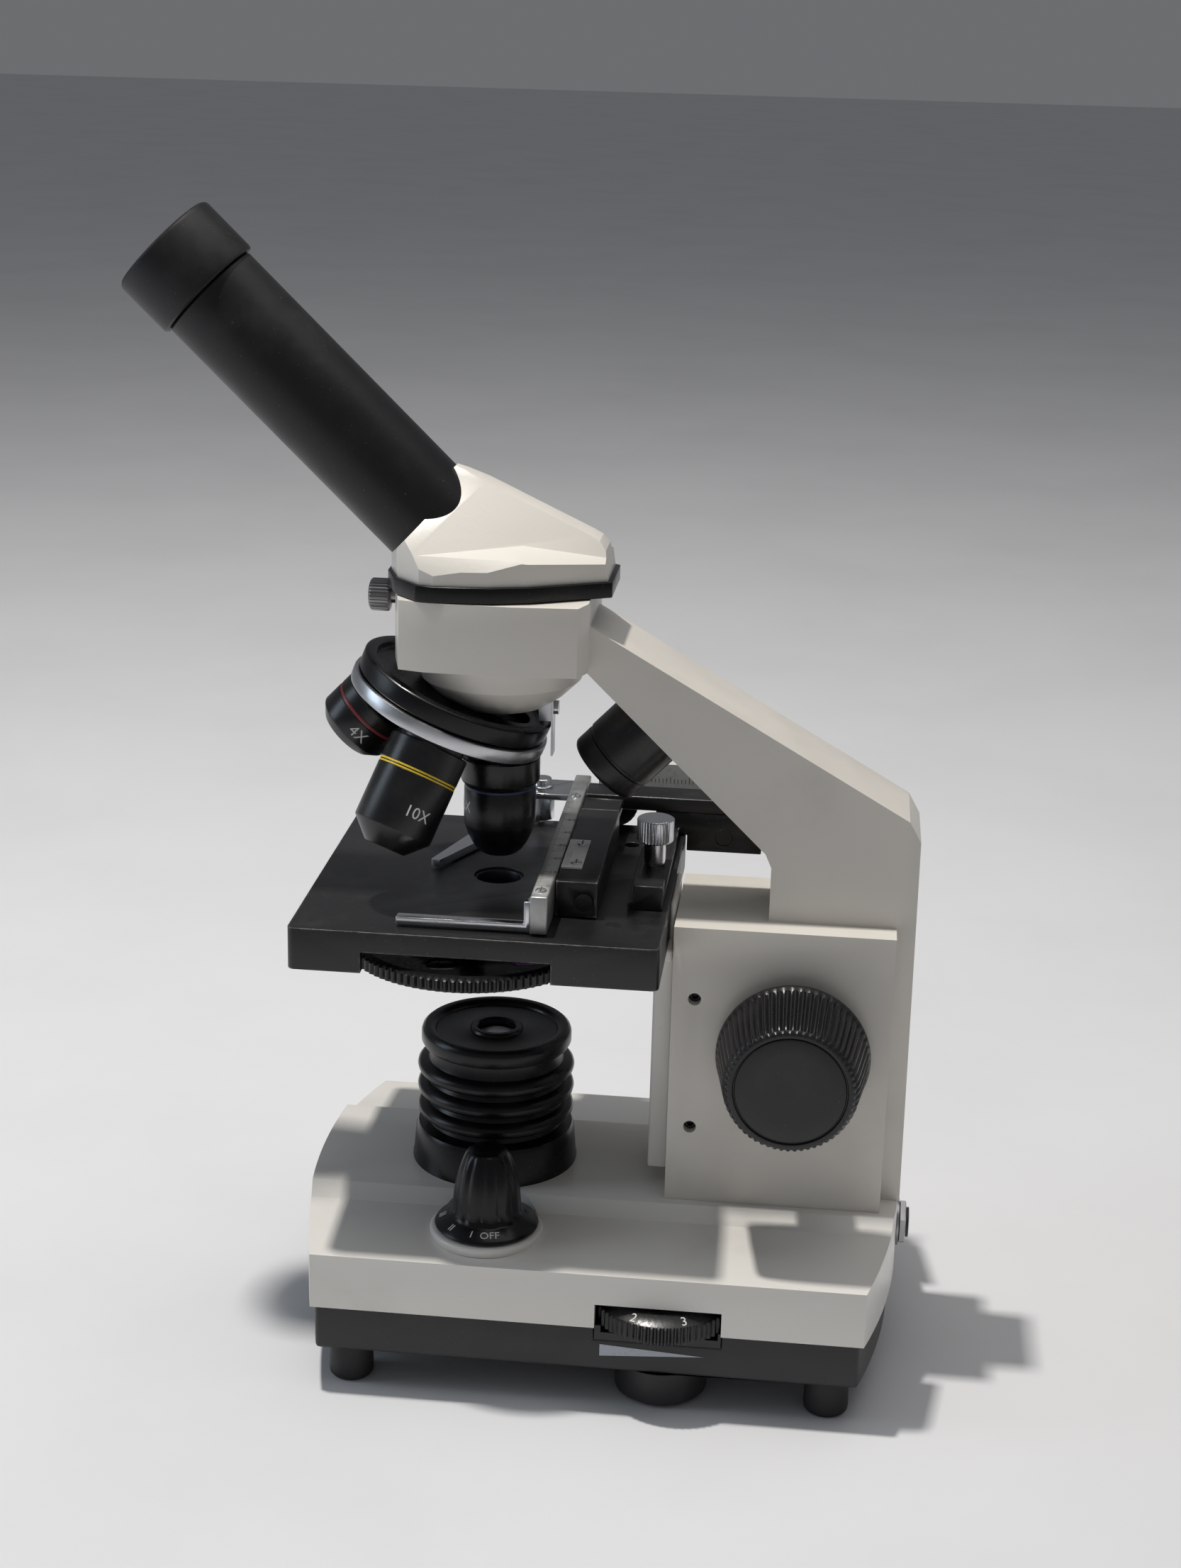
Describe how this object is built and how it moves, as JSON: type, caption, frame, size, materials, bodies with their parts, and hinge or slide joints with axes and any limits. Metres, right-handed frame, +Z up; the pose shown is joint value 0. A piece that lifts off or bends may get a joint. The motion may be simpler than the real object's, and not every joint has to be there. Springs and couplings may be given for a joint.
{
  "type": "microscope",
  "caption": "Student microscope with slanted eyepiece tube, turret of objectives, geared stage with slide holder, lamps above and below, and a dimmer in the base.",
  "frame": {"origin": "middle of the footprint, on the bench, with the stand upright", "axes": "+Z up and longest, +Y towards the arm, +X towards the dimmer side and shortest"},
  "size_m": [0.112, 0.1983, 0.2799],
  "materials": {
    "ivory_paint": "satin",
    "grey_paint": "satin",
    "black_plastic": "satin",
    "black_metal": "satin",
    "rubber": "matte",
    "cell_wrap": "gloss",
    "steel": "machined",
    "black_steel": "satin",
    "board": "satin",
    "glass": "polished",
    "coloured_glass": "polished",
    "led_chip": "gloss",
    "brass": "machined",
    "chrome": "polished",
    "aluminium": "brushed",
    "scale_white": "satin"
  },
  "bodies": {
    "stand": {"base_shell": "ivory_paint", "base_tray": "black_plastic", "rubber_feet": "rubber", "battery_door": "black_plastic", "battery_cells": "cell_wrap", "battery_cradle": "black_plastic", "dimmer_pot": "steel", "control_board": "board", "power_inlet": "steel", "selector_collar": "ivory_paint", "selector_switch": "steel", "lamp_housing": "black_plastic", "lamp_cap": "black_plastic", "lamp_lens": "glass", "lamp_led": "led_chip", "arm": "grey_paint", "tension_screws": "black_steel", "upper_lamp_shell": "black_plastic", "upper_lamp_lens": "glass", "upper_lamp_led": "led_chip", "nosepiece_disc": "black_metal", "turret_axle": "chrome", "click_spring": "steel"},
    "dimmer": {"dimmer_wheel": "black_plastic"},
    "selector": {"selector_knob": "black_plastic"},
    "focus": {"focus_shaft": "steel", "focus_knob_right": "black_plastic", "focus_knob_left": "black_plastic"},
    "stage": {"stage_plate": "black_metal", "stage_bracket": "ivory_paint", "focus_rack": "brass", "wheel_screw": "black_steel", "holder_base": "black_metal"},
    "filter_disc": {"filter_wheel": "black_plastic", "filter_glasses": "coloured_glass"},
    "clamp": {"clamp_screw": "chrome"},
    "y_slide": {"carriage": "black_metal", "y_rail": "aluminium", "scale_plates": "scale_white"},
    "x_slide": {"slide_bar": "aluminium", "fixed_finger": "chrome", "finger_bracket": "chrome", "finger_screw": "chrome"},
    "finger": {"spring_finger": "chrome"},
    "x_drive": {"x_drive_knob": "black_plastic"},
    "y_drive": {"y_drive_knob": "black_plastic"},
    "turret": {"turret_ring": "chrome", "turret_plate": "aluminium", "objective_40x": "black_metal", "objective_10x": "black_metal", "objective_4x": "black_metal", "blank_plug": "black_plastic", "objective_lenses": "glass"},
    "head": {"head_band": "black_plastic", "head_casting": "ivory_paint", "head_prism": "glass", "eyepiece_tube": "black_metal"},
    "lock": {"head_lock_screw": "chrome"},
    "eyepiece": {"eyepiece_shell": "black_plastic", "eyepiece_lenses": "glass"}
  },
  "joints": [
    {"name": "dimmer_turn", "type": "hinge", "parent": "stand", "child": "dimmer", "pos_m": [0.0387, 0.03925, 0.0249], "axis": [0, 0, 1], "range_deg": [-120, 150]},
    {"name": "selector_turn", "type": "hinge", "parent": "stand", "child": "selector", "pos_m": [0.034, -0.00525, 0.045], "axis": [0, 0, 1], "range_deg": [-30, 90]},
    {"name": "focus_turn", "type": "hinge", "parent": "stand", "child": "focus", "pos_m": [0, 0.06765, 0.0842], "axis": [1, 0, 0], "range_deg": [-31.5, 46]},
    {"name": "stage_lift", "type": "slide", "parent": "stand", "child": "stage", "axis": [0, 0, 1], "range_m": [-0.0044, 0.003]},
    {"name": "filter_turn", "type": "hinge", "parent": "stage", "child": "filter_disc", "pos_m": [0.0195, -0.01205, 0.1074], "axis": [0, 0, 1], "continuous": true},
    {"name": "clamp_turn", "type": "hinge", "parent": "stage", "child": "clamp", "pos_m": [-0.008, 0.03025, 0.126], "axis": [0, 0, 1], "range_deg": [0, 360]},
    {"name": "y_travel", "type": "slide", "parent": "stage", "child": "y_slide", "axis": [0, 1, 0], "range_m": [-0.0045, 0.006]},
    {"name": "x_travel", "type": "slide", "parent": "y_slide", "child": "x_slide", "axis": [1, 0, 0], "range_m": [-0.025, 0.02]},
    {"name": "finger_swing", "type": "hinge", "parent": "x_slide", "child": "finger", "pos_m": [-0.046, -0.00305, 0.12], "axis": [0, 0, 1], "range_deg": [-25, 5], "stiffness_Nm_per_rad": 0.02},
    {"name": "x_drive_turn", "type": "hinge", "parent": "y_slide", "child": "x_drive", "pos_m": [-0.052, 0.01615, 0.122], "axis": [1, 0, 0], "range_deg": [-601, 481]},
    {"name": "y_drive_turn", "type": "hinge", "parent": "stage", "child": "y_drive", "pos_m": [-0.052, 0.04595, 0.1176], "axis": [1, 0, 0], "range_deg": [-115, 86.5]},
    {"name": "turret_turn", "type": "hinge", "parent": "stand", "child": "turret", "pos_m": [0, -0.02154, 0.15912], "axis": [0, 0.3746, 0.9272], "continuous": true},
    {"name": "head_turn", "type": "hinge", "parent": "stand", "child": "head", "pos_m": [0, -0.00805, 0.19], "axis": [0, 0, 1], "continuous": true},
    {"name": "lock_turn", "type": "hinge", "parent": "stand", "child": "lock", "pos_m": [0, -0.03605, 0.18835], "axis": [0, -1, 0], "range_deg": [0, 360]},
    {"name": "eyepiece_lift", "type": "slide", "parent": "head", "child": "eyepiece", "axis": [0, -0.7193, 0.6947], "range_m": [0, 0.025]}
  ],
  "couplings": [
    {"joint": "focus_turn", "follows": "stage_lift", "rad_per_m": -181.82},
    {"joint": "x_drive_turn", "follows": "x_travel", "rad_per_m": 418.9},
    {"joint": "y_drive_turn", "follows": "y_travel", "rad_per_m": -333.33}
  ]
}
